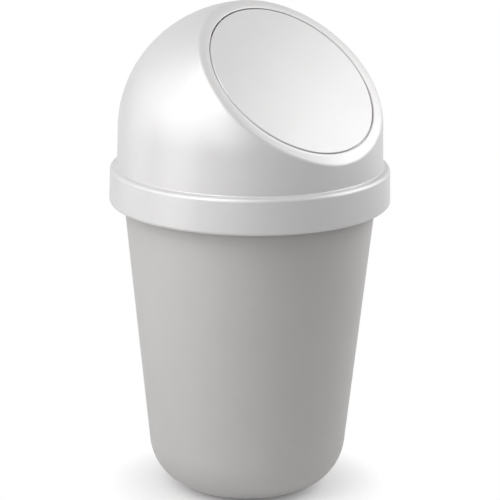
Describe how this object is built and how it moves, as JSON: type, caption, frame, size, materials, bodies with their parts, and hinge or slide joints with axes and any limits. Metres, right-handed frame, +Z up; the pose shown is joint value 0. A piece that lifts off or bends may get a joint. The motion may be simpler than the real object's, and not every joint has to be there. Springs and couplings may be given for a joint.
{
  "type": "round waste bin",
  "caption": "Round waste bin with a tapered bucket, a lift-off domed lid and a sprung round push flap that swings inwards.",
  "frame": {"origin": "middle of the base, on the surface that the bin stands on", "axes": "+Z up along the bin's axis, -Y towards the side that the flap faces, X along the flap's hinge pin"},
  "size_m": [0.402, 0.402, 0.7121],
  "materials": {
    "bucket_plastic": "grey moulded polypropylene, fine matte",
    "lid_plastic": "silver-grey moulded polypropylene, satin",
    "pin_steel": "drawn steel rod",
    "cap_plastic": "black moulded polyamide",
    "spring_steel": "drawn spring wire"
  },
  "bodies": {
    "bucket": {"bucket": "bucket_plastic"},
    "lid": {"lid": "lid_plastic", "hinge_pin": "pin_steel", "pin_cap_left": "cap_plastic", "pin_cap_right": "cap_plastic", "return_spring_left": "spring_steel", "return_spring_right": "spring_steel"},
    "flap": {"flap": "lid_plastic"}
  },
  "joints": [
    {"name": "lid_lift", "type": "slide", "parent": "bucket", "child": "lid", "axis": [0, 0, 1], "range_m": [0, 0.12]},
    {"name": "flap_swing", "type": "hinge", "parent": "lid", "child": "flap", "pos_m": [0, 0.01242, 0.68779], "axis": [1, 0, 0], "range_deg": [0, 85], "stiffness_Nm_per_rad": 0.12, "springref_deg": -154.7, "deforming": ["return_spring_left", "return_spring_right"]}
  ]
}
